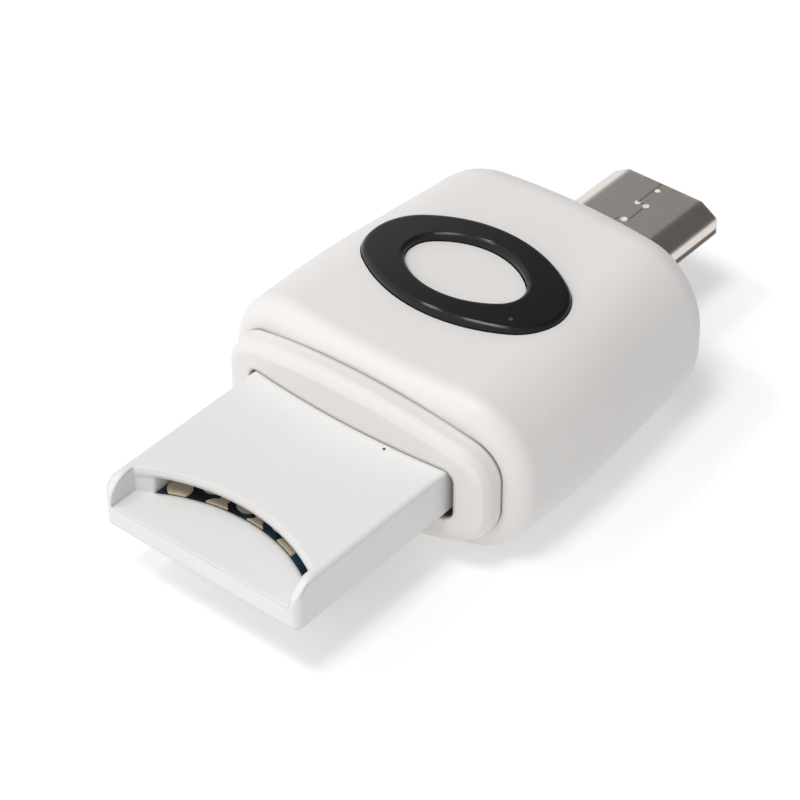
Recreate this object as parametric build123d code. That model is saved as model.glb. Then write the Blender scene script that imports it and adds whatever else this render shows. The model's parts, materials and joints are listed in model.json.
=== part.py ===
from build123d import *
from math import cos, pi, radians, sin, tan
import os

# USB memory card reader: a white pillow-shaped body with a flat plug tongue at the front and a small
# metal plug at the rear. The memory card slides into the open end of the tongue.
# Frame: X across, +Y towards the small metal plug, Z up from the table. Origin under the middle.
# All sizes are in millimetres.

# Lengths along the reader, front to rear
TONGUE_REACH = 10.35
COLLAR_REACH = 1.35
HOUSING_LENGTH = 18.1
PLUG_REACH = 7.05

# Housing
HOUSING_HEIGHT = 9.2
FRONT_WIDTH = 18.6
BELLY_WIDTH = 18.8
REAR_WIDTH = 17.0
BELLY_PLACE = 6.8
BELLY_ROUND = 40.0
HOUSING_CORNER = 4.1
FRONT_BOW_RADIUS = 50.0
REAR_BOW_RADIUS = 35.0
FRONT_ROUND = 1.3
REAR_ROUND = 1.9
REAR_WALL = 1.6
CAVITY_WIDTH = 14.2
CAVITY_HEIGHT = 6.0
CAVITY_CORNER = 1.3
RAIL_DEPTH = 0.7
RAIL_HEIGHT = 0.6

# Collar that closes the front of the housing
COLLAR_SIDE_STEP = 1.15
COLLAR_TOP_STEP = 0.78
COLLAR_CROWN = 1.5
COLLAR_CORNER = 2.1
COLLAR_ROUND = 0.55
SPIGOT_DEPTH = 3.2
MOUTH_SIDE_ROOM = 0.4
MOUTH_TOP_ROOM = 0.1
MOUTH_CORNER = 0.7

# Oval trim ring
RING_LENGTH = 11.85
RING_BREADTH = 7.4
RING_HOLE_LENGTH = 7.0
RING_HOLE_BREADTH = 4.65
RING_END_RADIUS = 2.75
RING_HOLE_END_RADIUS = 1.55
RING_SETBACK = 8.41
RING_SHIFT = -0.39
RING_TURN = -1.2
RING_RISE = 0.52
RING_CROWN_RADIUS = 55.0
RING_SEAT = 0.4
RING_BEVEL = 0.14

# Plug tongue with the card slot
TONGUE_WIDTH = 12.1
TONGUE_HEIGHT = 2.6
TONGUE_RISE = 0.15
TONGUE_INSIDE = 6.4
TONGUE_CORNER = 0.4
TONGUE_NOSE = 1.3
TONGUE_BEVEL = 0.1
SIDE_WALL = 0.5
ROOF = 0.4
FLOOR_SKIN = 0.4
CARD_STOP = 1.5
NOTCH_DEPTH = 3.1
NOTCH_RADIUS = 10.7
LIP_DEPTH = 3.33
LIP_RADIUS = 9.0
GUIDE_STEP = 0.87
GUIDE_PLACE = 1.6
GUIDE_SLANT = 0.5
WINDOW_MARGIN = 0.7
WINDOW_SIDE_MARGIN = 1.2

# Circuit board and what is soldered to it
BOARD_THICKNESS = 0.8
BOARD_SIDE_ROOM = 0.3
BOARD_END_ROOM = 0.9
CARD_CONTACT_COUNT = 8
CARD_CONTACT_PITCH = 1.1
CARD_CONTACT_SHIFT = -0.06
CARD_CONTACT_WIDTH = 0.5
CARD_CONTACT_SHEET = 0.1
CARD_CONTACT_LIFT = 0.25
FOOT_DIAMETER = 1.26
FOOT_FRONT_ROW = 3.0
FOOT_ROW_STEP = 1.25
USB_CONTACT_PLACES = (-3.5, -1.0, 1.0, 3.5)
USB_CONTACT_WIDTH = 1.2
USB_CONTACT_LENGTH = 7.4
USB_CONTACT_SHEET = 0.15
USB_CONTACT_LEAD = 1.0
CHIP_SIZE = 4.0
CHIP_HEIGHT = 0.85
CRYSTAL_SIZE = (2.0, 1.6, 0.6)
CAPACITOR_SIZE = (0.8, 1.6, 0.8)
RESISTOR_SIZE = (0.6, 1.1, 0.4)
PASSIVE_MARGIN = 1.2

# Small metal plug
PLUG_WIDTH = 6.85
PLUG_HEIGHT = 1.8
PLUG_RISE = 0.28
PLUG_TOP_WIDTH = 4.75
PLUG_BEVEL_DROP = 0.65
PLUG_CORNER = 0.3
PLUG_WALL = 0.25
PLUG_TIP_BEVEL = 0.1
SEAM_PLACE = -0.19
SEAM_WIDTH = 0.08
SEAM_DEPTH = 0.08
SEAM_LOCK_WIDTH = 0.55
SEAM_LOCK_LENGTH = 1.67
SEAM_LOCK_FLARE = 0.1
SEAM_LOCK_SETBACK = 2.3
SOLDER_TAB_LENGTH = 1.1
SOLDER_TAB_HEIGHT = 0.5
INSULATOR_BLOCK = 3.0
INSULATOR_SETBACK = 0.8
PIN_COUNT = 5
PIN_PITCH = 0.65
PIN_WIDTH = 0.4
PIN_SHEET = 0.15
PIN_TAIL = 2.0
PIN_SETBACK = 1.2
LATCH_PLACE = 2.35
LATCH_WIDTH = 0.5
LATCH_SHEET = 0.2
LATCH_SETBACK = 3.2
LATCH_HOOK = 0.35
LATCH_HOOK_LENGTH = 1.1

# Clearance between pieces that slide together
FIT = 0.05

# Places that follow from the sizes above
OVERALL_LENGTH = TONGUE_REACH + COLLAR_REACH + HOUSING_LENGTH + PLUG_REACH
FRONT_Y = -OVERALL_LENGTH / 2
COLLAR_Y = FRONT_Y + TONGUE_REACH
HOUSING_Y = COLLAR_Y + COLLAR_REACH
REAR_Y = HOUSING_Y + HOUSING_LENGTH
TIP_Y = REAR_Y + PLUG_REACH
MID_Z = HOUSING_HEIGHT / 2

COLLAR_WIDTH = FRONT_WIDTH - 2 * COLLAR_SIDE_STEP
COLLAR_HEIGHT = HOUSING_HEIGHT - 2 * COLLAR_TOP_STEP
CAVITY_END_Y = REAR_Y - REAR_WALL

TONGUE_BOTTOM = MID_Z + TONGUE_RISE - TONGUE_HEIGHT / 2
TONGUE_TOP = TONGUE_BOTTOM + TONGUE_HEIGHT
TONGUE_END_Y = COLLAR_Y + TONGUE_INSIDE
SLOT_WIDTH = TONGUE_WIDTH - 2 * SIDE_WALL
GUIDE_X = GUIDE_STEP - SLOT_WIDTH / 2
BOARD_BOTTOM = TONGUE_BOTTOM + FLOOR_SKIN
BOARD_TOP = BOARD_BOTTOM + BOARD_THICKNESS
SHOULDER_Y = TONGUE_END_Y + FIT
BOARD_END_Y = CAVITY_END_Y - BOARD_END_ROOM
BOARD_REAR_WIDTH = CAVITY_WIDTH - 2 * BOARD_SIDE_ROOM
PLUG_AXIS_Z = MID_Z + PLUG_RISE
PLUG_BOTTOM = PLUG_AXIS_Z - PLUG_HEIGHT / 2
SHELL_Y = BOARD_END_Y + FIT


def slab(x_low, x_high, y_low, y_high, z_low, z_high):
    """Square block between two corners."""
    size = (x_high - x_low, y_high - y_low, z_high - z_low)
    centre = ((x_low + x_high) / 2, (y_low + y_high) / 2, (z_low + z_high) / 2)
    return Pos(*centre) * Box(*size)


def across(y, z):
    """Plane across the reader at y, with X to the right, its origin on the centre line at height z."""
    return Plane(origin=(0, y, z), x_dir=(1, 0, 0), z_dir=(0, -1, 0))


def rearwards(face, length):
    """Solid that the cross-section sweeps as it moves towards the rear."""
    return extrude(face, amount=length, dir=(0, 1, 0))


def lens(y, width, height, corner):
    """Cross-section of the collar and of what fits in it: bowed top and bottom and round corners."""
    half_width = width / 2
    half_height = height / 2
    shoulder = half_height - COLLAR_CROWN
    top = ThreePointArc((-half_width, shoulder), (0, half_height), (half_width, shoulder))
    right = Line((half_width, shoulder), (half_width, -shoulder))
    bottom = ThreePointArc((half_width, -shoulder), (0, -half_height), (-half_width, -shoulder))
    left = Line((-half_width, -shoulder), (-half_width, shoulder))
    outline = make_face([top, right, bottom, left])
    return across(y, MID_Z) * fillet(outline.vertices(), min(corner, shoulder))


def bow_depth(radius, width):
    """How far an arc of this radius falls back at the sides of a face of this width."""
    return radius - (radius ** 2 - (width / 2) ** 2) ** 0.5


def bowed_block(front_y, front_radius, rear_y, rear_radius):
    """Upright block, wider and higher than the housing, with bowed front and rear faces."""
    half = BELLY_WIDTH / 2 + 1
    front_side = front_y + bow_depth(front_radius, 2 * half)
    rear_side = rear_y - bow_depth(rear_radius, 2 * half)
    front = ThreePointArc((-half, front_side), (0, front_y), (half, front_side))
    right = Line((half, front_side), (half, rear_side))
    rear = ThreePointArc((half, rear_side), (0, rear_y), (-half, rear_side))
    left = Line((-half, rear_side), (-half, front_side))
    plan = make_face([front, right, rear, left])
    return Pos(0, 0, -HOUSING_HEIGHT) * extrude(plan, amount=3 * HOUSING_HEIGHT)


def corner_limit(before, corner, after):
    """Largest radius whose round takes up less than half of the shorter side at a corner."""
    first = corner - before
    second = after - corner
    half_turn = radians(first.get_angle(second) / 2)
    return 0.45 * min(first.length, second.length) / tan(half_turn)


def housing_plan():
    """Outline of the housing seen from above: bowed ends and sides that narrow behind a soft belly."""
    front_half = FRONT_WIDTH / 2
    rear_half = REAR_WIDTH / 2
    front_y = HOUSING_Y + bow_depth(FRONT_BOW_RADIUS, FRONT_WIDTH)
    rear_y = REAR_Y - bow_depth(REAR_BOW_RADIUS, REAR_WIDTH)
    front_corner = Vector(front_half, front_y)
    belly = Vector(BELLY_WIDTH / 2, HOUSING_Y + BELLY_PLACE)
    rear_corner = Vector(rear_half, rear_y)
    right = Polyline(front_corner, belly, rear_corner)
    left = mirror(right, Plane.YZ)
    front = ThreePointArc((-front_half, front_y), (0, HOUSING_Y), (front_half, front_y))
    rear = ThreePointArc((-rear_half, rear_y), (0, REAR_Y), (rear_half, rear_y))
    outline = make_face([front, right, rear, left])
    bellies = outline.vertices().sort_by(lambda corner: abs(corner.Y - belly.Y))[:2]
    return fillet(bellies, min(BELLY_ROUND, corner_limit(front_corner, belly, rear_corner)))


def oval(length, breadth, end_radius):
    """Oval of four arcs that run into each other, with the given radius at its ends."""
    half_length = length / 2
    half_breadth = breadth / 2
    end_x = half_length - end_radius
    side_radius = (end_x ** 2 + half_breadth ** 2 - end_radius ** 2) / (2 * (half_breadth - end_radius))
    reach = end_radius / (side_radius - end_radius)
    join_x = end_x + reach * end_x
    join_y = reach * (side_radius - half_breadth)
    back = ThreePointArc((-join_x, join_y), (0, half_breadth), (join_x, join_y))
    right = ThreePointArc((join_x, join_y), (half_length, 0), (join_x, -join_y))
    front = ThreePointArc((join_x, -join_y), (0, -half_breadth), (-join_x, -join_y))
    left = ThreePointArc((-join_x, -join_y), (-half_length, 0), (-join_x, join_y))
    return make_face([back, right, front, left])


def ring_band(grow, z_low, z_high):
    """Upright oval tube with the plan of the trim ring, its walls moved out by grow."""
    outer = oval(RING_LENGTH + 2 * grow, RING_BREADTH + 2 * grow, RING_END_RADIUS + grow)
    hole = oval(RING_HOLE_LENGTH - 2 * grow, RING_HOLE_BREADTH - 2 * grow, RING_HOLE_END_RADIUS - grow)
    place = Pos(RING_SHIFT, HOUSING_Y + RING_SETBACK, z_low) * Rot(0, 0, RING_TURN)
    return place * extrude(outer - hole, amount=z_high - z_low)


def plug_profile(grow):
    """Outline of the small plug, wide below and bevelled above, moved out by grow."""
    half = PLUG_WIDTH / 2
    top_half = PLUG_TOP_WIDTH / 2
    top = PLUG_HEIGHT / 2
    right = [(top_half, top), (half, top - PLUG_BEVEL_DROP), (half, -top)]
    left = [(-x, z) for x, z in reversed(right)]
    outline = make_face(Polyline(*right, *left, close=True))
    rounded = fillet(outline.vertices(), PLUG_CORNER)
    return offset(rounded, amount=grow) if grow else rounded


def make_housing():
    """White sleeve, open at the front, with rails for the board and a slot for the small plug."""
    body = extrude(housing_plan(), amount=HOUSING_HEIGHT)
    rims = body.edges().filter_by(Plane.XY)
    long_edges = rims.filter_by(lambda edge: abs(edge.center().X) > REAR_WIDTH / 4)
    body = fillet(long_edges, min(HOUSING_CORNER, 0.45 * HOUSING_HEIGHT))
    front_rim = body.faces().sort_by(Axis.Y)[0].edges()
    body = fillet(front_rim, FRONT_ROUND)
    rear_rim = body.faces().sort_by(Axis.Y)[-1].edges()
    body = fillet(rear_rim, REAR_ROUND)

    cavity_mouth = lens(HOUSING_Y, CAVITY_WIDTH, CAVITY_HEIGHT, CAVITY_CORNER)
    body -= rearwards(cavity_mouth, CAVITY_END_Y - HOUSING_Y)
    for side in (-1, 1):
        body += make_rails(side)
    body -= rearwards(across(CAVITY_END_Y, PLUG_AXIS_Z) * plug_profile(2 * FIT), 2 * REAR_WALL)
    body -= ring_band(FIT, HOUSING_HEIGHT - RING_SEAT, HOUSING_HEIGHT)
    return body


def make_rails(side):
    """Pair of ribs on one side of the cavity, with a groove between them for the board's edge."""
    inner = BOARD_REAR_WIDTH / 2 - RAIL_DEPTH
    outer = CAVITY_WIDTH / 2
    x_low, x_high = sorted((side * inner, side * outer))
    low = BOARD_BOTTOM - RAIL_HEIGHT
    high = BOARD_TOP + RAIL_HEIGHT
    rails = slab(x_low, x_high, SHOULDER_Y, CAVITY_END_Y, low, high)
    groove_half = BOARD_REAR_WIDTH / 2 + FIT
    groove = slab(-groove_half, groove_half, HOUSING_Y, CAVITY_END_Y, BOARD_BOTTOM - FIT, BOARD_TOP + FIT)
    return rails - groove


def ease_front(body, radius):
    """Eases the rim of the front face with two bevels that together follow a round of this radius."""
    first_inset = radius * tan(pi / 8)
    second_inset = radius - first_inset
    second_length = radius / cos(pi / 8) - 2 * radius * sin(pi / 8)
    for inset, length in ((first_inset, radius), (second_inset, second_length)):
        front = body.faces().sort_by(Axis.Y)[0]
        body = chamfer(front.edges(), inset, length, reference=front)
    return body


def make_front_collar():
    """White step in front of the housing, with a spigot that plugs into its mouth."""
    length = COLLAR_REACH + SPIGOT_DEPTH
    step = rearwards(lens(COLLAR_Y, COLLAR_WIDTH, COLLAR_HEIGHT, COLLAR_CORNER), length)
    step = step & bowed_block(COLLAR_Y, FRONT_BOW_RADIUS, HOUSING_Y + SPIGOT_DEPTH, REAR_BOW_RADIUS)
    step = ease_front(step, COLLAR_ROUND)
    step -= bowed_block(HOUSING_Y, FRONT_BOW_RADIUS, REAR_Y, REAR_BOW_RADIUS)

    spigot_width = CAVITY_WIDTH - 2 * FIT
    spigot_height = CAVITY_HEIGHT - 2 * FIT
    spigot_end = lens(HOUSING_Y, spigot_width, spigot_height, CAVITY_CORNER)
    spigot = rearwards(spigot_end, SPIGOT_DEPTH)
    mouth_width = TONGUE_WIDTH + 2 * MOUTH_SIDE_ROOM
    mouth_height = 2 * (TONGUE_TOP + MOUTH_TOP_ROOM - MID_Z)
    mouth_face = across(COLLAR_Y, MID_Z) * RectangleRounded(mouth_width, mouth_height, MOUTH_CORNER)
    mouth = rearwards(mouth_face, length)
    half = TONGUE_WIDTH / 2 + FIT
    passage = slab(-half, half, COLLAR_Y, HOUSING_Y + SPIGOT_DEPTH, TONGUE_BOTTOM - FIT, TONGUE_TOP + FIT)
    return step + spigot - mouth - passage


def make_trim_ring():
    """Black oval ring with a crowned top and bevelled upper edges, in a groove of the housing."""
    ring = ring_band(0, HOUSING_HEIGHT - RING_SEAT, HOUSING_HEIGHT + RING_RISE)
    crown_z = HOUSING_HEIGHT + RING_RISE - RING_CROWN_RADIUS
    crown = Pos(0, 0, crown_z) * Rot(90, 0, 0) * Cylinder(RING_CROWN_RADIUS, OVERALL_LENGTH)
    ring = ring & crown
    top = ring.faces().sort_by(Axis.Z)[-1]
    return chamfer(top.edges(), RING_BEVEL)


def front_disc(depth, radius, z_low, z_high):
    """Upright disc whose rear edge is the arc that lies depth behind the open front of the tongue."""
    centre = Pos(0, FRONT_Y + depth - radius, (z_low + z_high) / 2)
    return centre * Cylinder(radius, z_high - z_low)


def nose_cut():
    """What is taken off the upper front edge of the tongue to round it."""
    radius = min(TONGUE_NOSE, TONGUE_HEIGHT / 2)
    corner = slab(-TONGUE_WIDTH, TONGUE_WIDTH, FRONT_Y, FRONT_Y + radius, TONGUE_TOP - radius, TONGUE_TOP)
    bar = Rot(0, 90, 0) * Cylinder(radius, 2 * TONGUE_WIDTH)
    return corner - Pos(0, FRONT_Y + radius, TONGUE_TOP - radius) * bar


def card_guide():
    """Slanted step on the left of the slot, where the card's nose is narrower."""
    wall_x = -SLOT_WIDTH / 2
    start_y = FRONT_Y + GUIDE_PLACE
    plan = Polyline(
        (wall_x, start_y),
        (GUIDE_X, start_y + GUIDE_SLANT),
        (GUIDE_X, TONGUE_END_Y),
        (wall_x, TONGUE_END_Y),
        close=True,
    )
    return Pos(0, 0, BOARD_TOP) * extrude(make_face(plan), amount=TONGUE_HEIGHT)


def make_card_tongue():
    """White flat plug: floor with a pocket for the board, card slot over it, and a notched roof."""
    length = TONGUE_END_Y - FRONT_Y
    plan = Rectangle(TONGUE_WIDTH, length)
    plan = fillet(plan.vertices().group_by(Axis.Y)[0], TONGUE_CORNER)
    block = Pos(0, FRONT_Y + length / 2, TONGUE_BOTTOM) * extrude(plan, amount=TONGUE_HEIGHT)
    top_rim = block.faces().sort_by(Axis.Z)[-1].edges()
    bottom_rim = block.faces().sort_by(Axis.Z)[0].edges()
    block = chamfer(top_rim + bottom_rim, TONGUE_BEVEL) - nose_cut()

    half_slot = SLOT_WIDTH / 2
    slot = slab(-half_slot, half_slot, FRONT_Y, TONGUE_END_Y - CARD_STOP, BOARD_TOP, TONGUE_TOP - ROOF)
    slot -= card_guide()
    notch_disc = front_disc(NOTCH_DEPTH, NOTCH_RADIUS, BOARD_TOP, TONGUE_TOP)
    notch = notch_disc & slab(-half_slot, half_slot, FRONT_Y, COLLAR_Y, BOARD_TOP, TONGUE_TOP)
    pocket = slab(GUIDE_X, half_slot, FRONT_Y, TONGUE_END_Y, BOARD_BOTTOM, BOARD_TOP)
    pocket -= front_disc(LIP_DEPTH, LIP_RADIUS, BOARD_BOTTOM, BOARD_TOP)
    window_half = half_slot - WINDOW_SIDE_MARGIN
    window_front = FRONT_Y + LIP_DEPTH + WINDOW_MARGIN
    window_rear = COLLAR_Y + COLLAR_REACH
    window = slab(-window_half, window_half, window_front, window_rear, TONGUE_BOTTOM, BOARD_BOTTOM)
    return block - slot - notch - pocket - window


def make_circuit_board():
    """Dark board, narrow in the tongue, with a bowed front edge, and wide between the rails."""
    half = SLOT_WIDTH / 2 - FIT
    rear_half = BOARD_REAR_WIDTH / 2
    narrow = slab(GUIDE_X + FIT, half, FRONT_Y, SHOULDER_Y, BOARD_BOTTOM, BOARD_TOP)
    narrow -= front_disc(LIP_DEPTH + FIT, LIP_RADIUS + FIT, BOARD_BOTTOM, BOARD_TOP)
    wide = slab(-rear_half, rear_half, SHOULDER_Y, BOARD_END_Y, BOARD_BOTTOM, BOARD_TOP)
    return narrow + wide


def card_contact_x(index):
    """Place across the reader of one card contact."""
    middle = (CARD_CONTACT_COUNT - 1) / 2
    return CARD_CONTACT_SHIFT + (index - middle) * CARD_CONTACT_PITCH


def make_card_contact(index):
    """Spring strip with a round foot near the front edge of the board and a raised, curled tip."""
    x = card_contact_x(index)
    foot_y = FRONT_Y + FOOT_FRONT_ROW + FOOT_ROW_STEP * (index % 2)
    tip_y = TONGUE_END_Y - CARD_STOP - FOOT_DIAMETER
    ramp_y = (foot_y + tip_y) / 2
    high = BOARD_TOP + CARD_CONTACT_LIFT
    sheet = CARD_CONTACT_SHEET
    side = Polyline(
        (foot_y, BOARD_TOP),
        (ramp_y, BOARD_TOP),
        (tip_y - sheet, high),
        (tip_y + FOOT_DIAMETER / 2, BOARD_TOP + sheet),
        (tip_y + FOOT_DIAMETER / 2, BOARD_TOP + 2 * sheet),
        (tip_y, high + sheet),
        (tip_y - 2 * sheet, high + sheet),
        (ramp_y, BOARD_TOP + sheet),
        (foot_y, BOARD_TOP + sheet),
        close=True,
    )
    profile = Plane(origin=(x, 0, 0), x_dir=(0, 1, 0), z_dir=(1, 0, 0)) * make_face(side)
    strip = extrude(profile, amount=CARD_CONTACT_WIDTH / 2, both=True)
    foot = Pos(x, foot_y, BOARD_TOP + sheet / 2) * Cylinder(FOOT_DIAMETER / 2, sheet)
    contact = strip + foot
    return contact - front_disc(LIP_DEPTH + FIT, LIP_RADIUS + FIT, BOARD_TOP, TONGUE_TOP)


def make_usb_contact(x):
    """Flat contact plate on the underside of the board, shorter in the middle of the row."""
    outer_pair = abs(x) == max(USB_CONTACT_PLACES)
    window_front = FRONT_Y + LIP_DEPTH + WINDOW_MARGIN + FIT
    front = window_front if outer_pair else window_front + USB_CONTACT_LEAD
    rear = window_front + USB_CONTACT_LENGTH
    half = USB_CONTACT_WIDTH / 2
    plate = slab(x - half, x + half, front, rear, BOARD_BOTTOM - USB_CONTACT_SHEET, BOARD_BOTTOM)
    return chamfer(plate.edges().filter_by(Axis.Z), USB_CONTACT_SHEET)


def make_plug_shell():
    """Folded metal shell of the small plug, with a seam above, latch windows below and two board tabs."""
    length = TIP_Y - SHELL_Y
    place = across(SHELL_Y, PLUG_AXIS_Z)
    shell = rearwards(place * plug_profile(0), length)
    tip_rim = shell.faces().sort_by(Axis.Y)[-1].edges()
    shell = chamfer(tip_rim, PLUG_TIP_BEVEL)
    shell -= rearwards(place * plug_profile(-PLUG_WALL), length)
    for side in (-1, 1):
        x_low, x_high = sorted((side * (PLUG_WIDTH / 2 - PLUG_WALL), side * PLUG_WIDTH / 2))
        tab_front = BOARD_END_Y - SOLDER_TAB_LENGTH
        shell += slab(x_low, x_high, tab_front, SHELL_Y, BOARD_TOP, BOARD_TOP + SOLDER_TAB_HEIGHT)
        shell -= latch_window(side)
    return shell - seam_groove()


def seam_groove():
    """Fine groove in the top of the shell where the folded sheet meets itself, with one dovetail lock."""
    lock_rear = TIP_Y - SEAM_LOCK_SETBACK
    lock_front = lock_rear - SEAM_LOCK_LENGTH
    lock_x = SEAM_PLACE + SEAM_LOCK_WIDTH
    seam = Polyline(
        (SEAM_PLACE, SHELL_Y),
        (SEAM_PLACE, lock_front),
        (lock_x, lock_front - SEAM_LOCK_FLARE),
        (lock_x, lock_rear + SEAM_LOCK_FLARE),
        (SEAM_PLACE, lock_rear),
        (SEAM_PLACE, TIP_Y),
    )
    floor_z = PLUG_BOTTOM + PLUG_HEIGHT - SEAM_DEPTH
    return Pos(0, 0, floor_z) * extrude(trace(seam, SEAM_WIDTH), amount=2 * SEAM_DEPTH)


def latch_window(side):
    """Opening in the floor of the shell that the latch hook comes out of."""
    half = LATCH_WIDTH / 2 + 2 * FIT
    x_low = side * LATCH_PLACE - half
    x_high = side * LATCH_PLACE + half
    rear = TIP_Y - LATCH_SETBACK + 2 * FIT
    front = rear - LATCH_HOOK_LENGTH - 4 * FIT
    return slab(x_low, x_high, front, rear, PLUG_BOTTOM, PLUG_BOTTOM + PLUG_WALL)


def make_plug_insulator():
    """Plastic core of the small plug: a block that fills the shell and a ledge under the contacts."""
    place = across(SHELL_Y, PLUG_AXIS_Z)
    core = rearwards(place * plug_profile(-PLUG_WALL - FIT), TIP_Y - INSULATOR_SETBACK - SHELL_Y)
    ledge_half = LATCH_PLACE - LATCH_WIDTH / 2 - FIT
    block_end = SHELL_Y + INSULATOR_BLOCK
    inner_top = PLUG_BOTTOM + PLUG_HEIGHT
    core -= slab(-PLUG_WIDTH, PLUG_WIDTH, block_end, TIP_Y, BOARD_TOP, inner_top)
    for side in (-1, 1):
        x_low, x_high = sorted((side * ledge_half, side * PLUG_WIDTH))
        core -= slab(x_low, x_high, block_end, TIP_Y, PLUG_BOTTOM, inner_top)
        core -= latch_groove(side)
    for index in range(PIN_COUNT):
        half = PIN_WIDTH / 2 + FIT
        x = pin_x(index)
        core -= slab(x - half, x + half, SHELL_Y, block_end, BOARD_TOP, BOARD_TOP + PIN_SHEET + FIT)
    return core


def latch_groove(side):
    """Groove in the insulator block that holds the root of a latch spring."""
    half = LATCH_WIDTH / 2 + FIT
    low = PLUG_BOTTOM + PLUG_WALL
    x = side * LATCH_PLACE
    return slab(x - half, x + half, SHELL_Y, TIP_Y, low, low + 2 * FIT + LATCH_SHEET)


def pin_x(index):
    """Place across the reader of one contact strip of the small plug."""
    return (index - (PIN_COUNT - 1) / 2) * PIN_PITCH


def make_plug_pin(index):
    """Straight contact strip from the board, through the insulator, to the mouth of the small plug."""
    x = pin_x(index)
    half = PIN_WIDTH / 2
    tail = BOARD_END_Y - PIN_TAIL
    return slab(x - half, x + half, tail, TIP_Y - PIN_SETBACK, BOARD_TOP, BOARD_TOP + PIN_SHEET)


def make_latch_spring(side):
    """Strip spring along the floor of the shell, with a hook that stands out of the window below."""
    low = PLUG_BOTTOM + PLUG_WALL + FIT
    high = low + LATCH_SHEET
    hook_end = TIP_Y - LATCH_SETBACK
    hook_start = hook_end - LATCH_HOOK_LENGTH
    hook_low = PLUG_BOTTOM - LATCH_HOOK
    side_view = Polyline(
        (SHELL_Y, low),
        (hook_start, low),
        (hook_start, hook_low),
        (hook_end, PLUG_BOTTOM),
        (hook_end, high),
        (SHELL_Y, high),
        close=True,
    )
    middle = Plane(origin=(side * LATCH_PLACE, 0, 0), x_dir=(0, 1, 0), z_dir=(1, 0, 0))
    return extrude(middle * make_face(side_view), amount=LATCH_WIDTH / 2, both=True)


def chip_y():
    """Middle of the bare stretch of board between the tongue and the contact strips."""
    return (SHOULDER_Y + BOARD_END_Y - PIN_TAIL) / 2


def make_controller_chip():
    """Square chip with a bevelled upper edge, in the middle of the board."""
    chip = Pos(0, chip_y(), BOARD_TOP + CHIP_HEIGHT / 2) * Box(CHIP_SIZE, CHIP_SIZE, CHIP_HEIGHT)
    top_rim = chip.faces().sort_by(Axis.Z)[-1].edges()
    return chamfer(top_rim, CHIP_HEIGHT / 6)


def make_small_component(x, y, size):
    """Small soldered block with bevelled upper edges."""
    block = Pos(x, y, BOARD_TOP + size[2] / 2) * Box(*size)
    top_rim = block.faces().sort_by(Axis.Z)[-1].edges()
    return chamfer(top_rim, size[2] / 8)


def passive_x():
    """Place of the side rows of small components, half way from the chip to the board's edge."""
    return (CHIP_SIZE / 2 + BOARD_REAR_WIDTH / 2 - RAIL_DEPTH) / 2


def make_parts():
    """All the pieces of the reader, by name."""
    parts = {
        "housing": make_housing(),
        "front_collar": make_front_collar(),
        "trim_ring": make_trim_ring(),
        "card_tongue": make_card_tongue(),
        "circuit_board": make_circuit_board(),
        "plug_shell": make_plug_shell(),
        "plug_insulator": make_plug_insulator(),
        "latch_spring_left": make_latch_spring(-1),
        "latch_spring_right": make_latch_spring(1),
        "controller_chip": make_controller_chip(),
    }
    for index in range(CARD_CONTACT_COUNT):
        parts[f"card_contact_{index + 1}"] = make_card_contact(index)
    for index, x in enumerate(USB_CONTACT_PLACES):
        parts[f"usb_contact_{index + 1}"] = make_usb_contact(x)
    for index in range(PIN_COUNT):
        parts[f"plug_pin_{index + 1}"] = make_plug_pin(index)

    row = passive_x()
    pitch = chip_y() - SHOULDER_Y - PASSIVE_MARGIN
    for index in range(3):
        y = chip_y() + (index - 1) * pitch
        parts[f"capacitor_{index + 1}"] = make_small_component(-row, y, CAPACITOR_SIZE)
    for index in range(2):
        y = chip_y() + index * pitch
        parts[f"resistor_{index + 1}"] = make_small_component(row, y, RESISTOR_SIZE)
    parts["clock_crystal"] = make_small_component(row, chip_y() - pitch, CRYSTAL_SIZE)
    return parts


os.makedirs("parts", exist_ok=True)
for node, solid in make_parts().items():
    export_step(solid, f"parts/{node}.step")
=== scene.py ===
import json
import math

import bpy
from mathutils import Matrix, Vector


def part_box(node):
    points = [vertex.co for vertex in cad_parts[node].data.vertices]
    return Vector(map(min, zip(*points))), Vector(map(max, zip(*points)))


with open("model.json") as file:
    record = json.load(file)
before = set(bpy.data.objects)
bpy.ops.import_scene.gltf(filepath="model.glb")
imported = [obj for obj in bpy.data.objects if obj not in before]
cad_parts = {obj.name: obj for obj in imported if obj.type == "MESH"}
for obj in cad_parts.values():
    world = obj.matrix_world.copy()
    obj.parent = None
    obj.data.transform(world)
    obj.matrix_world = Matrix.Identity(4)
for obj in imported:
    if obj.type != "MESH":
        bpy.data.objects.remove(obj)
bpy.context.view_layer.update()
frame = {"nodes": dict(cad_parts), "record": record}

# USB memory card reader in a plain studio, seen as in the photo.
# Lengths are in millimetres and turned into the frame's metres by MM.
MM = 0.001

# Camera that was fitted to the photo
CAMERA_PLACE = Vector((73.23, -92.20, 98.06))
CAMERA_AIM = Vector((3.92, -8.54, 9.86))
CAMERA_LENS = 135.63
CAMERA_SENSOR = 36.0
CAMERA_NEAR_CLIP = 5.0

# Plain white of the floor's glow and of the surroundings
WHITE = (1.0, 1.0, 1.0)

# Paper floor that glows a little, just under the reader
FLOOR_SIZE = 1600.0
FLOOR_DROP = 0.02
FLOOR_GLOW = 0.34
FLOOR_DARK = (0.70, 0.70, 0.70)
FLOOR_PALE = (0.72, 0.72, 0.72)
FLOOR_BLOTCH = 40.0
FLOOR_ROUGHNESS = 0.9

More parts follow.
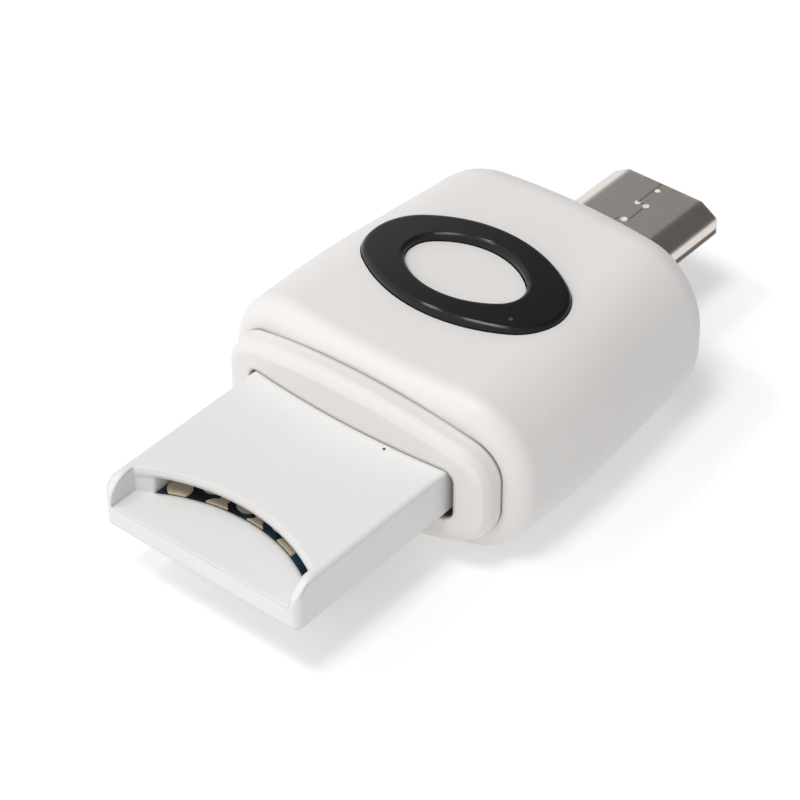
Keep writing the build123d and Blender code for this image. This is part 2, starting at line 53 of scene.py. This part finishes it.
# Light from all round: a shaded side, and a dark patch high at the rear for the metal to reflect.
# Each has a direction, a range of nearness to that direction, and the brightness at both ends of the range.
SHADED_SIDE = Vector((0.85, 0.53, 0.0)).normalized()
SHADED_RANGE = (-0.4, 0.9)
SHADED_LEVELS = (0.95, 0.44)
DARK_PATCH = Vector((0.10, 0.68, 0.73)).normalized()
DARK_RANGE = (0.50, 0.93)
DARK_LEVELS = (1.0, 0.23)

# Lamps: a round one over the front, and an oval one high at the front left for glints on the ring
KEY_PLACE = Vector((10.0, -120.0, 325.0))
KEY_SIZE = (110.0, 110.0)
KEY_POWER = 0.46
GLINT_PLACE = Vector((-140.0, -122.0, 297.0))
GLINT_SIZE = (90.0, 30.0)
GLINT_POWER = 0.16
LAMP_AIM = Vector((0.0, 0.0, 4.0))

# Pieces whose small bevels are shaded as rounds, and the angle over which an edge stays crisp on them.
# SHARP_ANGLE is that angle on all other pieces.
ROUNDED_NODES = ("housing", "front_collar", "trim_ring", "card_tongue", "plug_shell")
ROUNDED_SHARP_ANGLE = math.radians(50)
SHARP_ANGLE = math.radians(32)

# Radius of the rounds that some materials shade over sharp edges, and the samples taken for them
COLLAR_EDGE_ROUND = 0.30
TONGUE_EDGE_ROUND = 0.35
RING_EDGE_ROUND = 0.22
PLUG_FOLD_ROUND = 0.40
ROUND_SAMPLES = 8

# Dark tone, pale tone and roughness of each material slot
TONES = {
    "shell_plastic": ((0.70, 0.68, 0.665), (0.73, 0.71, 0.695), 0.42),
    "tongue_plastic": ((0.70, 0.695, 0.685), (0.73, 0.725, 0.715), 0.42),
    "trim_plastic": ((0.006, 0.006, 0.007), (0.009, 0.009, 0.010), 0.11),
    "board": ((0.006, 0.010, 0.013), (0.010, 0.018, 0.024), 0.35),
    "contact_gold": ((0.62, 0.52, 0.38), (0.74, 0.62, 0.47), 0.42),
    "plug_steel": ((0.66, 0.60, 0.55), (0.76, 0.70, 0.65), 0.24),
    "spring_steel": ((0.50, 0.50, 0.50), (0.60, 0.60, 0.60), 0.30),
    "insulator": ((0.015, 0.015, 0.016), (0.025, 0.025, 0.026), 0.50),
    "chip_resin": ((0.018, 0.018, 0.019), (0.028, 0.028, 0.029), 0.55),
    "crystal_can": ((0.66, 0.66, 0.65), (0.74, 0.74, 0.73), 0.32),
    "capacitor": ((0.42, 0.32, 0.20), (0.52, 0.41, 0.28), 0.50),
    "resistor": ((0.035, 0.035, 0.038), (0.05, 0.05, 0.055), 0.50),
}
PLAIN_PLASTICS = ("insulator", "chip_resin", "capacitor", "resistor")
PLAIN_METALS = ("spring_steel", "crystal_can")

# Node that has a material of its own in place of its slot's
OWN_MATERIALS = {"front_collar": "collar_plastic"}

# Noise: the range that most of it lies in, how fine it is, how strongly it bends the surface, and no stretch
NOISE_RANGE = (0.3, 0.7)
COARSE_DETAIL = 1.0
SOFT_DETAIL = 3.0
FINE_DETAIL = 6.0
GRAIN_STRENGTH = 0.5
EVEN_STRETCH = (1.0, 1.0, 1.0)

# Unevenness and shine of the plastics, and what the polished ring has instead
PLASTIC_TONE_BLOTCH = 6.0
PLASTIC_GLOSS_BLOTCH = 2.5
PLASTIC_GLOSS_SPREAD = 0.04
PLASTIC_GRAIN = 0.25
PLASTIC_GRAIN_DEPTH = 0.004
PLASTIC_SPECULAR = 0.32
TRIM_GRAIN_DEPTH = 0.001
TRIM_SPECULAR = 0.34

# Unevenness of the metals, the plug's brushing and the dull plating of the contacts
METAL_STREAK = 0.6
METAL_GLOSS_SPREAD = 0.05
METAL_GRAIN_DEPTH = 0.003
PLUG_BRUSH = (1.0, 12.0, 12.0)
CONTACT_METALLIC = 0.35

# Soft patches of another colour: size, range of the noise, greatest share and colour
BOARD_PATCHES = (1.6, (0.48, 0.58), 0.8, (0.012, 0.038, 0.062))
CONTACT_PATCHES = (2.2, (0.45, 0.60), 0.6, (0.60, 0.50, 0.44))

# Painted shade in the crease where the collar meets the bowed front of the housing, fainter towards the
# middle
BOW_RADIUS = 50.0
CREASE_WIDTH = 0.20
CREASE_SIDE_RANGE = (5.5, 7.5)
CREASE_MIDDLE_SHARE = 0.45
CREASE_SHADE_COLOUR = (0.09, 0.08, 0.075)

# Painted shade on the walls of the collar's opening round the root of the tongue
OPENING_MARGIN = 0.60
OPENING_FADE = 0.12
OPENING_DEPTH = (0.08, 0.35)
OPENING_SHADE_COLOUR = (0.12, 0.11, 0.105)

# Painted dark reflection along the lower edge on the sides of the plug's shell
PLUG_EDGE_HEIGHT = 0.50
PLUG_EDGE_FADE = 0.12
PLUG_EDGE_REFLECTION_COLOUR = (0.07, 0.06, 0.055)

# Distance from the middle over which the plug's folds start to be rounded, clear of its seam
PLUG_FOLD_RANGE = (1.1, 1.4)

# Small marks that the photo shows: place, radius, fade and colour
TONGUE_SPECK = (Vector((2.7, -8.25, 6.05)), 0.07, 0.03, (0.03, 0.03, 0.03))
RING_SPECK = (Vector((3.87, -0.11, 9.65)), 0.11, 0.04, (0.07, 0.07, 0.075))
RING_NICK = (Vector((2.91, 2.32, 9.65)), 0.10, 0.03, (0.35, 0.34, 0.33))

# Faint scuffs on the right of the housing: place and radius of each, and the fine scratches in them
SCUFFS = (
    (Vector((8.2, -3.2, 7.8)), 0.10),
    (Vector((8.8, -2.9, 6.9)), 0.10),
    (Vector((9.2, -2.6, 5.8)), 0.10),
)
SCUFF_FADE = 0.55
SCUFF_COLOUR = (0.80, 0.75, 0.74)
SCRATCH_SIZE = 0.35
SCRATCH_STRETCH = (1.0, 1.0, 3.0)
SCRATCH_RANGE = (0.50, 0.62)
SCRATCH_SHARE = 0.5

# Painted glints along the plug's seam: place and radius of each
SEAM_GLINTS = (
    (Vector((0.15, 14.43, 5.78)), 0.16),
    (Vector((-0.19, 16.09, 5.78)), 0.12),
    (Vector((0.35, 16.11, 5.78)), 0.14),
    (Vector((0.01, 17.62, 5.78)), 0.11),
)
SEAM_GLINT_FADE = 0.07
SEAM_GLINT_COLOUR = (0.92, 0.88, 0.84)
SEAM_GLINT_METALLIC = 0.1

# Levels between which a mask runs
RISING = (0.0, 1.0)
FALLING = (1.0, 0.0)

# The mix node's sockets for each kind of value: first input, second input and output
MIX_SOCKETS = {"RGBA": (6, 7, 2), "VECTOR": (4, 5, 1)}


def metres(lengths):
    """Several lengths in millimetres, as metres."""
    return tuple(length * MM for length in lengths)


def new_material(name):
    """Empty material with one principled surface."""
    material = bpy.data.materials.new(name)
    material.use_nodes = True
    tree = material.node_tree
    tree.nodes.clear()
    output = tree.nodes.new("ShaderNodeOutputMaterial")
    surface = tree.nodes.new("ShaderNodeBsdfPrincipled")
    tree.links.new(surface.outputs["BSDF"], output.inputs["Surface"])
    return material, tree, surface


def put(tree, socket, value):
    """Sets a socket to a number or colour, or links it."""
    if isinstance(value, bpy.types.NodeSocket):
        tree.links.new(value, socket)
    elif isinstance(value, tuple):
        socket.default_value = (*value, 1.0)
    else:
        socket.default_value = value


def object_place(tree, stretch=EVEN_STRETCH):
    """Place on the object in metres, with each axis stretched."""
    coordinates = tree.nodes.new("ShaderNodeTexCoord")
    mapping = tree.nodes.new("ShaderNodeMapping")
    mapping.inputs["Scale"].default_value = stretch
    tree.links.new(coordinates.outputs["Object"], mapping.inputs["Vector"])
    return mapping.outputs["Vector"]


def along(tree, axis):
    """Place on the object along one axis, in metres."""
    split = tree.nodes.new("ShaderNodeSeparateXYZ")
    tree.links.new(object_place(tree), split.inputs["Vector"])
    return split.outputs[axis]


def noise(tree, feature, detail=SOFT_DETAIL, stretch=EVEN_STRETCH):
    """Soft noise whose blotches are about this many millimetres across."""
    texture = tree.nodes.new("ShaderNodeTexNoise")
    texture.inputs["Scale"].default_value = 1.0 / (feature * MM)
    texture.inputs["Detail"].default_value = detail
    tree.links.new(object_place(tree, stretch), texture.inputs["Vector"])
    return texture.outputs["Fac"]


def mixed(tree, factor, first, second, kind="RGBA"):
    """Colour between two colours, or direction between two directions."""
    first_input, second_input, output = MIX_SOCKETS[kind]
    mix = tree.nodes.new("ShaderNodeMix")
    mix.data_type = kind
    tree.links.new(factor, mix.inputs["Factor"])
    put(tree, mix.inputs[first_input], first)
    put(tree, mix.inputs[second_input], second)
    return mix.outputs[output]


def worked(tree, operation, *values):
    """Number worked out from one or two numbers or sockets."""
    node = tree.nodes.new("ShaderNodeMath")
    node.operation = operation
    for socket, value in zip(node.inputs, values):
        put(tree, socket, value)
    return node.outputs["Value"]


def chained(tree, operation, values):
    """Number worked out from several sockets, one after the other."""
    total = values[0]
    for value in values[1:]:
        total = worked(tree, operation, total, value)
    return total


def ranged(tree, value, span, levels):
    """Number that runs from one level to the other as the value runs over the span."""
    scale = tree.nodes.new("ShaderNodeMapRange")
    scale.inputs["From Min"].default_value = span[0]
    scale.inputs["From Max"].default_value = span[1]
    scale.inputs["To Min"].default_value = levels[0]
    scale.inputs["To Max"].default_value = levels[1]
    tree.links.new(value, scale.inputs["Value"])
    return scale.outputs["Result"]


def varied(tree, factor, middle, spread):
    """Number that noise moves up and down about a middle value."""
    return ranged(tree, factor, NOISE_RANGE, (middle - spread, middle + spread))


def grain(tree, surface, height, depth):
    """Fine unevenness of the surface, depth in millimetres."""
    bump = tree.nodes.new("ShaderNodeBump")
    bump.inputs["Strength"].default_value = GRAIN_STRENGTH
    bump.inputs["Distance"].default_value = depth * MM
    tree.links.new(height, bump.inputs["Height"])
    tree.links.new(bump.outputs["Normal"], surface.inputs["Normal"])


def rounded_normal(tree, radius):
    """Normals that turn sharp edges into rounds of this radius in millimetres."""
    edges = tree.nodes.new("ShaderNodeBevel")
    edges.samples = ROUND_SAMPLES
    edges.inputs["Radius"].default_value = radius * MM
    return edges.outputs["Normal"]


def lay_under_grain(tree, surface, normal):
    """Puts these normals under the fine unevenness of the surface."""
    bump = surface.inputs["Normal"].links[0].from_node
    tree.links.new(normal, bump.inputs["Normal"])


def round_edges(tree, surface, radius):
    """Shades sharp edges as rounds of this radius in millimetres."""
    lay_under_grain(tree, surface, rounded_normal(tree, radius))


def round_folds(tree, surface, radius, share):
    """Shades sharp edges as rounds of this radius in millimetres, where the share is 1."""
    plain = tree.nodes.new("ShaderNodeNewGeometry")
    normal = mixed(tree, share, plain.outputs["Normal"], rounded_normal(tree, radius), "VECTOR")
    lay_under_grain(tree, surface, normal)


def paint(tree, surface, factor, colour):
    """Lays one more colour over the surface's present colour."""
    below = surface.inputs["Base Color"].links[0].from_socket
    put(tree, surface.inputs["Base Color"], mixed(tree, factor, below, colour))


def spot(tree, centre, radius, fade):
    """1 inside a small ball round a place on the object, falling to 0 over the fade, in millimetres."""
    distance = tree.nodes.new("ShaderNodeVectorMath")
    distance.operation = "DISTANCE"
    distance.inputs[1].default_value = centre * MM
    tree.links.new(object_place(tree), distance.inputs[0])
    return ranged(tree, distance.outputs["Value"], metres((radius, radius + fade)), FALLING)


def spots(tree, places, fade):
    """1 inside any of several small balls."""
    return chained(tree, "MAXIMUM", [spot(tree, centre, radius, fade) for centre, radius in places])


def paint_spot(tree, surface, centre, radius, fade, colour):
    """Lays a small mark over the surface's present colour."""
    paint(tree, surface, spot(tree, centre, radius, fade), colour)


def paint_patches(tree, surface, size, span, share, colour):
    """Lays soft patches of another colour over the surface's present colour."""
    patches = ranged(tree, noise(tree, size, COARSE_DETAIL), span, (0.0, share))
    paint(tree, surface, patches, colour)


def from_middle(tree):
    """Distance from the reader's middle plane, in metres."""
    return worked(tree, "ABSOLUTE", along(tree, "X"))


def behind_bow(tree, front_y):
    """How far a place lies behind a bowed front whose foremost line is at front_y, in metres."""
    x = along(tree, "X")
    bow = worked(tree, "DIVIDE", worked(tree, "MULTIPLY", x, x), 2 * BOW_RADIUS * MM)
    return worked(tree, "SUBTRACT", worked(tree, "SUBTRACT", along(tree, "Y"), bow), front_y)


def crease_shade(tree):
    """Share of painted shade: 1 at the sides of the bowed line between collar and housing, less near its
    middle, 0 away from it.
    """
    distance = worked(tree, "ABSOLUTE", behind_bow(tree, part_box("housing")[0].y))
    near = ranged(tree, distance, metres((0.0, CREASE_WIDTH)), FALLING)
    share = ranged(tree, from_middle(tree), metres(CREASE_SIDE_RANGE), (CREASE_MIDDLE_SHARE, 1.0))
    return worked(tree, "MULTIPLY", near, share)


def opening_shade(tree):
    """Share of painted shade: 1 on the walls of the collar's opening, inside its bowed front, 0 on its
    outside.
    """
    low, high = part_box("card_tongue")
    start, end = metres((OPENING_MARGIN, OPENING_MARGIN + OPENING_FADE))
    beside = ranged(tree, from_middle(tree), (high.x + start, high.x + end), FALLING)
    above = ranged(tree, along(tree, "Z"), (high.z + start, high.z + end), FALLING)
    below = ranged(tree, along(tree, "Z"), (low.z - end, low.z - start), RISING)
    depth = behind_bow(tree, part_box("front_collar")[0].y)
    inside = ranged(tree, depth, metres(OPENING_DEPTH), RISING)
    return chained(tree, "MULTIPLY", [beside, above, below, inside])


def plug_edge_reflection(tree):
    """Share of painted dark reflection: 1 low down on the sides of the plug's shell, 0 on its other faces.
    """
    low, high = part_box("plug_shell")
    fade = PLUG_EDGE_FADE * MM
    edge_top = low.z + PLUG_EDGE_HEIGHT * MM
    low_down = ranged(tree, along(tree, "Z"), (edge_top, edge_top + fade), FALLING)
    at_side = ranged(tree, from_middle(tree), (high.x - 2 * fade, high.x - fade), RISING)
    return worked(tree, "MULTIPLY", low_down, at_side)


def plastic(name, dark, pale, roughness, grain_depth=PLASTIC_GRAIN_DEPTH):
    """Moulded plastic with slightly uneven colour, gloss and surface."""
    material, tree, surface = new_material(name)
    tone = mixed(tree, noise(tree, PLASTIC_TONE_BLOTCH), dark, pale)
    gloss = varied(tree, noise(tree, PLASTIC_GLOSS_BLOTCH), roughness, PLASTIC_GLOSS_SPREAD)
    put(tree, surface.inputs["Base Color"], tone)
    put(tree, surface.inputs["Roughness"], gloss)
    put(tree, surface.inputs["Specular IOR Level"], PLASTIC_SPECULAR)
    grain(tree, surface, noise(tree, PLASTIC_GRAIN), grain_depth)
    return material, tree, surface


def metal(name, dark, pale, roughness, brushed=EVEN_STRETCH):
    """Metal with uneven tone, brushed along the axis that is stretched least."""
    material, tree, surface = new_material(name)
    streaks = noise(tree, METAL_STREAK, FINE_DETAIL, brushed)
    put(tree, surface.inputs["Base Color"], mixed(tree, streaks, dark, pale))
    put(tree, surface.inputs["Roughness"], varied(tree, streaks, roughness, METAL_GLOSS_SPREAD))
    put(tree, surface.inputs["Metallic"], 1.0)
    grain(tree, surface, streaks, METAL_GRAIN_DEPTH)
    return material, tree, surface


def make_shell_plastic():
    """Warm white plastic of the body, faintly scuffed on the right side."""
    material, tree, surface = plastic("shell_plastic", *TONES["shell_plastic"])
    scratch_noise = noise(tree, SCRATCH_SIZE, FINE_DETAIL, SCRATCH_STRETCH)
    scratches = ranged(tree, scratch_noise, SCRATCH_RANGE, (0.0, SCRATCH_SHARE))
    scuffed = worked(tree, "MULTIPLY", spots(tree, SCUFFS, SCUFF_FADE), scratches)
    paint(tree, surface, scuffed, SCUFF_COLOUR)
    return material


def make_collar_plastic():
    """Same white plastic on the collar, with painted shade in the crease behind it and in its opening."""
    material, tree, surface = plastic("collar_plastic", *TONES["shell_plastic"])
    # Painted shade in the crease behind the collar
    paint(tree, surface, crease_shade(tree), CREASE_SHADE_COLOUR)
    # Painted shade on the walls of the collar's opening
    paint(tree, surface, opening_shade(tree), OPENING_SHADE_COLOUR)
    round_edges(tree, surface, COLLAR_EDGE_ROUND)
    return material


def make_tongue_plastic():
    """White plastic of the tongue, with one tiny dark speck near its root."""
    material, tree, surface = plastic("tongue_plastic", *TONES["tongue_plastic"])
    paint_spot(tree, surface, *TONGUE_SPECK)
    round_edges(tree, surface, TONGUE_EDGE_ROUND)
    return material


def make_trim_plastic():
    """Polished black plastic with a pale speck and a pale nick."""
    material, tree, surface = plastic("trim_plastic", *TONES["trim_plastic"], TRIM_GRAIN_DEPTH)
    put(tree, surface.inputs["Specular IOR Level"], TRIM_SPECULAR)
    paint_spot(tree, surface, *RING_SPECK)
    paint_spot(tree, surface, *RING_NICK)
    round_edges(tree, surface, RING_EDGE_ROUND)
    return material


def make_board():
    """Dark solder mask with bluer patches."""
    material, tree, surface = plastic("board", *TONES["board"])
    paint_patches(tree, surface, *BOARD_PATCHES)
    return material


def make_contact_gold():
    """Thin plating on the contacts, tan in one place and greyer or pinker in another."""
    material, tree, surface = metal("contact_gold", *TONES["contact_gold"])
    put(tree, surface.inputs["Metallic"], CONTACT_METALLIC)
    paint_patches(tree, surface, *CONTACT_PATCHES)
    return material


def make_plug_steel():
    """Brushed nickel of the small plug, with a painted dark reflection at its lower edges and painted glints
    along its seam.
    """
    material, tree, surface = metal("plug_steel", *TONES["plug_steel"], PLUG_BRUSH)
    # Painted dark reflection low on the sides of the shell
    paint(tree, surface, plug_edge_reflection(tree), PLUG_EDGE_REFLECTION_COLOUR)
    # Painted glints along the seam, pale and less metallic
    painted_glints = spots(tree, SEAM_GLINTS, SEAM_GLINT_FADE)
    paint(tree, surface, painted_glints, SEAM_GLINT_COLOUR)
    put(tree, surface.inputs["Metallic"], ranged(tree, painted_glints, RISING, (1.0, SEAM_GLINT_METALLIC)))
    away_from_seam = ranged(tree, from_middle(tree), metres(PLUG_FOLD_RANGE), RISING)
    round_folds(tree, surface, PLUG_FOLD_ROUND, away_from_seam)
    return material


def make_materials():
    """One material for each material slot of the record, and one for the collar with its painted shade."""
    materials = {
        "shell_plastic": make_shell_plastic(),
        "collar_plastic": make_collar_plastic(),
        "tongue_plastic": make_tongue_plastic(),
        "trim_plastic": make_trim_plastic(),
        "board": make_board(),
        "contact_gold": make_contact_gold(),
        "plug_steel": make_plug_steel(),
    }
    for name in PLAIN_PLASTICS:
        materials[name] = plastic(name, *TONES[name])[0]
    for name in PLAIN_METALS:
        materials[name] = metal(name, *TONES[name])[0]
    return materials


def dress_nodes():
    """Gives every CAD node its material and smooth round surfaces."""
    materials = make_materials()
    for row in frame["record"]["subparts"]:
        node = frame["nodes"][row["node"]]
        slot = OWN_MATERIALS.get(row["node"], row["material_slot"])
        node.data.materials.clear()
        node.data.materials.append(materials[slot])
        node.data.shade_smooth()
        if row["node"] in ROUNDED_NODES:
            node.data.set_sharp_from_angle(angle=ROUNDED_SHARP_ANGLE)
            soften = node.modifiers.new("soften", "WEIGHTED_NORMAL")
            soften.keep_sharp = True
        else:
            node.data.set_sharp_from_angle(angle=SHARP_ANGLE)


def make_floor():
    """Pale, softly glowing floor that the reader lies on."""
    bpy.ops.mesh.primitive_plane_add(size=FLOOR_SIZE * MM, location=(0, 0, -FLOOR_DROP * MM))
    floor = bpy.context.object
    floor.name = "floor"
    material, tree, surface = new_material("floor_paper")
    put(tree, surface.inputs["Base Color"], mixed(tree, noise(tree, FLOOR_BLOTCH), FLOOR_DARK, FLOOR_PALE))
    put(tree, surface.inputs["Roughness"], FLOOR_ROUGHNESS)
    put(tree, surface.inputs["Emission Color"], WHITE)
    put(tree, surface.inputs["Emission Strength"], FLOOR_GLOW)
    floor.data.materials.append(material)


def look_at(thing, place, aim):
    """Puts a lamp or camera at a place, turned towards the aim."""
    thing.location = place * MM
    thing.rotation_euler = (aim - place).to_track_quat("-Z", "Y").to_euler()


def light_towards(tree, aim, span, levels):
    """Brightness that runs between two levels as a direction comes nearer to the aim."""
    direction = tree.nodes.new("ShaderNodeTexCoord")
    nearness = tree.nodes.new("ShaderNodeVectorMath")
    nearness.operation = "DOT_PRODUCT"
    nearness.inputs[1].default_value = aim
    tree.links.new(direction.outputs["Generated"], nearness.inputs[0])
    return ranged(tree, nearness.outputs["Value"], span, levels)


def make_surroundings():
    """White studio with a shaded side and a dark patch."""
    world = bpy.data.worlds.new("studio")
    world.use_nodes = True
    tree = world.node_tree
    background = tree.nodes["Background"]
    side = light_towards(tree, SHADED_SIDE, SHADED_RANGE, SHADED_LEVELS)
    patch = light_towards(tree, DARK_PATCH, DARK_RANGE, DARK_LEVELS)
    put(tree, background.inputs["Color"], WHITE)
    put(tree, background.inputs["Strength"], worked(tree, "MULTIPLY", side, patch))
    bpy.context.scene.world = world


def make_lamp(name, place, size, power):
    """One round or oval lamp, turned towards the reader."""
    light = bpy.data.lights.new(name, "AREA")
    light.shape = "ELLIPSE"
    light.size, light.size_y = metres(size)
    light.energy = power
    lamp = bpy.data.objects.new(name, light)
    bpy.context.scene.collection.objects.link(lamp)
    look_at(lamp, place, LAMP_AIM)


def make_camera():
    """Camera at the photo's angle."""
    lens = bpy.data.cameras.new("camera")
    lens.lens = CAMERA_LENS
    lens.sensor_width = CAMERA_SENSOR
    lens.clip_start = CAMERA_NEAR_CLIP * MM
    camera = bpy.data.objects.new("camera", lens)
    bpy.context.scene.collection.objects.link(camera)
    look_at(camera, CAMERA_PLACE, CAMERA_AIM)
    bpy.context.scene.camera = camera


dress_nodes()
make_floor()
make_surroundings()
make_lamp("key", KEY_PLACE, KEY_SIZE, KEY_POWER)
make_lamp("glint", GLINT_PLACE, GLINT_SIZE, GLINT_POWER)
make_camera()
bpy.context.scene.view_settings.view_transform = "Standard"
